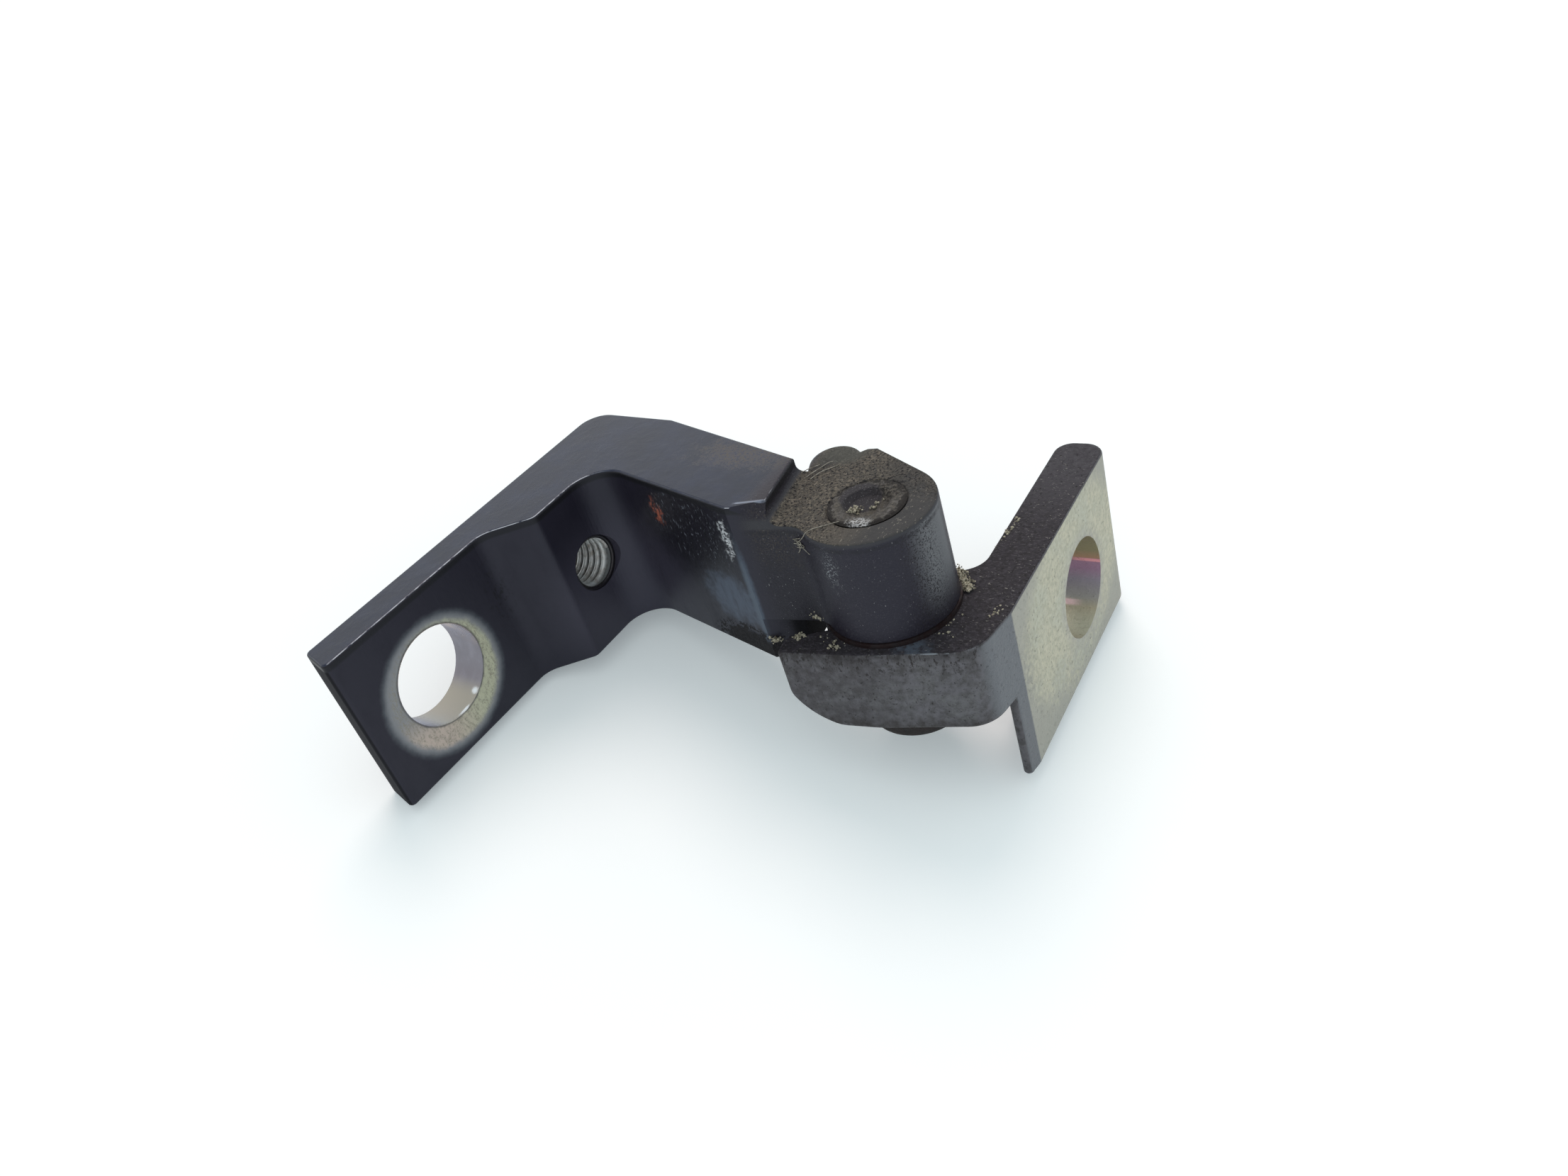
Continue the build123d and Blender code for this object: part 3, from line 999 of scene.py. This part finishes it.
class HINGE_OT_bushes(bpy.types.Operator):
    """Greasy bronze of the two flanged bushes"""

    bl_idname = "hinge.bushes"
    bl_label = "Finish the bushes"

    def execute(self, context):
        look = context.scene.hinge_bushes
        # Rolled bronze, greased: dark reddish brown with a dull shine
        finish, tree, place, _ = new_finish("greased_bronze")
        mottle = grains(place, 1.4, 0.35, 0.65, detail=8)
        coats = [(None, look.metal, 0.45, 0.5), (mottle, "#171114", 0.6, 0.2)]
        cover(tree, coats, [(mottle, 0.04)])
        wear(frame["nodes"]["upper_bush"], finish)
        wear(frame["nodes"]["lower_bush"], finish)
        return {"FINISHED"}


class HINGE_OT_grit(bpy.types.Operator):
    """Dried crumbs of road dirt caught in the corners"""

    bl_idname = "hinge.grit"
    bl_label = "Scatter the grit"

    def execute(self, context):
        look = context.scene.hinge_grit
        # Dried mud and lint: matt crumbs, straw to dark brown
        finish, tree, place, _ = new_finish("dried_road_dirt")
        blotch = grains(place, 0.9, 0.45, 0.7, detail=8)
        dots = grains(place, 0.3, 0.4, 0.6, detail=6, seed=(3, 1, 2))
        coats = [
            (None, look.straw, 0.95, 0.0),
            (blotch, "#736a5b", 0.95, 0.0),
            (both(blotch, dots), "#38322b", 0.95, 0.0),
        ]
        cover(tree, coats, [(dots, 0.08)])

        # Each heap has its middle and its spread in mm, and its number of crumbs. What clings to
        # the barrel's foot stays clear of the door leaf's top, which turns under it
        draw = Random(look.seed)
        dimple = pin_high.z - 0.75
        clear_top = door_top + 0.4
        heaps = {
            "pillar": (
                ((40.9, -66.5, dimple + 0.15), (0.4, 0.55, 0.15), 60),
                ((42.6, -69.2, dimple + 0.1), (1.1, 0.5, 0.08), 10),
                ((33.1, -49.3, -11.2), (0.2, 0.6, 0.4), 60),
                ((34.7, -57.7, -6.0), (0.1, 0.9, 0.35), 26),
                ((35.8, -58.6, -6.9), (0.4, 1.2, 0.1), 12),
                ((50.7, -75.4, clear_top + 0.2), (0.65, 0.5, 0.5), 150),
                ((49.7, -76.7, clear_top), (0.6, 0.6, 0.3), 120),
                ((48.3, -78.1, clear_top), (0.45, 0.5, 0.2), 70),
                ((51.7, -74.6, clear_top), (0.6, 0.4, 0.3), 40),
            ),
            "door": (
                ((31.2, -56.4, door_top + 0.1), (0.35, 0.42, 0.15), 60),
                ((30.2, -63.8, door_top), (0.4, 0.5, 0.25), 30),
                ((31.0, -61.0, door_top), (1.0, 1.6, 0.06), 8),
                ((43.8, -84.6, door_top), (0.7, 0.4, 0.06), 12),
                ((38.8, -79.3, door_top), (1.4, 0.7, 0.05), 12),
                ((65.0, -78.0, door_top), (1.8, 0.3, 0.12), 34),
            ),
        }
        for body, places in heaps.items():
            mesh = bmesh.new()
            for middle, spread, count in places:
                for _ in range(count):
                    spot = Vector(middle) + Vector(draw.gauss(0, 1) * reach for reach in spread)
                    if body == "pillar" and middle[2] >= clear_top:
                        spot.z = max(spot.z, clear_top)
                    lumpy = Vector(draw.uniform(0.6, 1.4) for _ in range(3))
                    turn = Matrix.Rotation(draw.uniform(0, tau), 4, "Z")
                    bmesh.ops.create_icosphere(
                        mesh,
                        subdivisions=1,
                        radius=draw.uniform(0.09, 0.27) * MM,
                        matrix=Matrix.Translation(spot * MM)
                        @ turn
                        @ Matrix.Diagonal((*lumpy, 1)),
                    )
            settle(mesh, f"dried_dirt_on_{body}_leaf", finish, body)
        return {"FINISHED"}


class HINGE_OT_lint(bpy.types.Operator):
    """Threads of lint caught on the pillar leaf"""

    bl_idname = "hinge.lint"
    bl_label = "Lay the lint"

    def execute(self, context):
        look = context.scene.hinge_lint
        # Textile fibre, dusty: pale grey-brown and quite matt
        finish, tree, place, _ = new_finish("dusty_fibre")
        soiled = grains(place, 0.8, 0.35, 0.65, detail=4)
        coats = [(None, look.fibre, 0.9, 0.0), (soiled, "#6f6a60", 0.95, 0.0)]
        cover(tree, coats)

        # Each strand follows its points in mm, on the surface that carries it
        top = barrel_top + 0.1
        strands = (
            ((36.7, -66.3, top + 0.35), (35.6, -64.0, top), (34.7, -62.7, top), (33.6, -62.0, top),
             (33.5, -61.3, top - 1.0), (34.0, -60.0, top - 2.2), (34.5, -59.0, top - 2.9)),
            ((34.1, -60.2, 10.1), (34.6, -58.8, 9.4), (34.9, -57.4, 9.0), (34.8, -56.2, 9.1)),
            ((34.5, -59.0, 9.2), (34.3, -59.8, 8.4), (33.9, -60.8, 7.9), (33.4, -61.7, 7.8)),
            ((34.4, -59.3, 9.0), (34.4, -59.4, 8.2), (34.5, -59.2, 7.4), (34.6, -58.6, 6.8)),
            ((34.6, -58.6, 9.1), (34.4, -59.6, 9.4), (34.2, -60.1, 8.8), (34.6, -58.9, 8.3)),
            ((34.6, -58.3, 8.6), (34.2, -60.4, 8.9), (34.0, -60.6, 8.3), (34.6, -58.7, 7.9)),
            ((46.6, -53.6, top + 0.1), (48.3, -54.6, top + 0.5), (50.4, -55.0, top + 0.2),
             (52.3, -54.9, top - 0.2), (53.6, -54.9, top - 0.8)),
            ((47.0, -54.7, top), (48.7, -55.6, top + 0.4), (50.6, -56.6, top), (51.6, -57.4, top)),
            ((47.6, -52.3, 12.2), (48.6, -53.3, 12.5), (50.0, -53.4, 12.0), (51.2, -54.0, 11.8)),
        )
        curve = bpy.data.curves.new("lint", "CURVE")
        curve.dimensions = "3D"
        curve.bevel_depth = look.thickness / 2
        curve.bevel_resolution = 1
        curve.resolution_u = 5
        curve.use_fill_caps = True
        for strand in strands:
            spline = curve.splines.new("NURBS")
            spline.points.add(len(strand) - 1)
            for point, spot in zip(spline.points, strand):
                point.co = (*(Vector(spot) * MM), 1)
            spline.order_u = 3
            spline.use_endpoint_u = True
        lines = bpy.data.objects.new("lint", curve)
        mesh = bmesh.new()
        mesh.from_mesh(bpy.data.meshes.new_from_object(lines))
        bpy.data.objects.remove(lines)
        settle(mesh, "lint_on_pillar_leaf", finish, "pillar")
        return {"FINISHED"}


class HINGE_OT_stage(bpy.types.Operator):
    """Plain pale floor, soft light and the camera"""

    bl_idname = "hinge.stage"
    bl_label = "Set the stage"

    def execute(self, context):
        look = context.scene.hinge_stage
        scene = context.scene
        scene.view_settings.view_transform = "Standard"

        # Pale laminate, plain: nearly white, with a faint glow to the camera that lifts its soft
        # shadow, and clear from below
        floor_glow = 0.22
        floor_finish, tree, _, _ = new_finish("pale_laminate")
        matt = add(tree, "ShaderNodeBsdfDiffuse", {"Color": look.floor})
        inputs = {0: seen_plainly(tree), 1: floor_glow}
        strength = add(tree, "ShaderNodeMath", inputs, operation="MULTIPLY").outputs[0]
        glow = add(tree, "ShaderNodeEmission", {"Color": "#edfaff", "Strength": strength})
        both_shades = add(tree, "ShaderNodeAddShader", {0: matt.outputs[0], 1: glow.outputs[0]})
        clear = add(tree, "ShaderNodeBsdfTransparent")
        behind = add(tree, "ShaderNodeNewGeometry").outputs["Backfacing"]
        one_sided = add(
            tree,
            "ShaderNodeMixShader",
            {0: behind, 1: both_shades.outputs[0], 2: clear.outputs[0]},
        )
        add(tree, "ShaderNodeOutputMaterial", {"Surface": one_sided.outputs[0]})
        mesh = bmesh.new()
        half_width = 3.0
        bmesh.ops.create_grid(mesh, x_segments=1, y_segments=1, size=half_width)
        tilt = Vector((0, -look.rise, 1)).normalized()
        turn = Vector((0, 0, 1)).rotation_difference(tilt).to_matrix().to_4x4()
        bmesh.ops.transform(
            mesh, matrix=Matrix.Translation((0, 0, look.level)) @ turn, verts=mesh.verts
        )
        floor = set_down(mesh, "floor")
        wear(floor, floor_finish)
        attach(floor, "door")

        # A pale sky all round, a little cooler than the lamp, and plain white to the camera
        world = bpy.data.worlds.new("pale_sky")
        scene.world = world
        world.use_nodes = True
        tree = world.node_tree
        tree.nodes.clear()
        sky = add(tree, "ShaderNodeBackground", {"Color": "#ecf6f9", "Strength": look.sky})
        white = add(tree, "ShaderNodeBackground", {"Color": "#ffffff", "Strength": 1.0})
        mixed = add(
            tree,
            "ShaderNodeMixShader",
            {0: seen_plainly(tree), 1: sky.outputs[0], 2: white.outputs[0]},
        )
        add(tree, "ShaderNodeOutputWorld", {"Surface": mixed.outputs[0]})

        # A wide soft lamp over the right shoulder
        lamp_from = Vector((0.5, 0.25, 1.0))
        lamp = bpy.data.lights.new("soft_lamp", "SUN")
        lamp.energy = look.lamp
        lamp.angle = radians(30)
        lamp.color = linear("#ffeae3")[:3]
        lamp_holder = bpy.data.objects.new("soft_lamp", lamp)
        lamp_holder.rotation_euler = lamp_from.to_track_quat("Z", "Y").to_euler()
        context.collection.objects.link(lamp_holder)

        eye = bpy.data.cameras.new("eye")
        eye.lens = look.lens
        eye.sensor_width = 36
        eye.clip_start = 0.005
        holder = bpy.data.objects.new("eye", eye)
        context.collection.objects.link(holder)
        right = Vector((0.51962, -0.81233, -0.26479))
        top = Vector((0.60301, 0.12912, 0.78721))
        back = Vector((-0.60529, -0.56873, 0.55694))
        eye_place = (-0.07947, -0.16053, 0.10407)
        stand = Matrix((right, top, back)).transposed().to_4x4()
        stand.translation = eye_place
        holder.matrix_world = stand
        scene.camera = holder
        return {"FINISHED"}


class HINGE_PT_panel(bpy.types.Panel):
    """Lists the steps that dress the hinge"""

    bl_label = "Car door hinge"
    bl_idname = "HINGE_PT_panel"
    bl_space_type = "VIEW_3D"
    bl_region_type = "UI"
    bl_category = "Hinge"

    def draw(self, context):
        for step in steps:
            self.layout.operator(step.bl_idname)


steps = (
    HINGE_OT_pillar_leaf,
    HINGE_OT_thread,
    HINGE_OT_door_leaf,
    HINGE_OT_pin,
    HINGE_OT_bushes,
    HINGE_OT_grit,
    HINGE_OT_lint,
    HINGE_OT_stage,
)
looks = {
    "hinge_pillar_leaf": PillarLeafLook,
    "hinge_thread": ThreadLook,
    "hinge_door_leaf": DoorLeafLook,
    "hinge_pin": PinLook,
    "hinge_bushes": BushLook,
    "hinge_grit": GritLook,
    "hinge_lint": LintLook,
    "hinge_stage": StageLook,
}


def register():
    for group in (*looks.values(), *steps, HINGE_PT_panel):
        bpy.utils.register_class(group)
    for name, group in looks.items():
        setattr(bpy.types.Scene, name, PointerProperty(type=group))


def unregister():
    for name in looks:
        delattr(bpy.types.Scene, name)
    for group in reversed((*looks.values(), *steps, HINGE_PT_panel)):
        bpy.utils.unregister_class(group)


def main():
    register()
    bpy.ops.hinge.pillar_leaf()
    bpy.ops.hinge.thread()
    bpy.ops.hinge.door_leaf()
    bpy.ops.hinge.pin()
    bpy.ops.hinge.bushes()
    bpy.ops.hinge.grit()
    bpy.ops.hinge.lint()
    bpy.ops.hinge.stage()


if __name__ == "__main__":
    main()
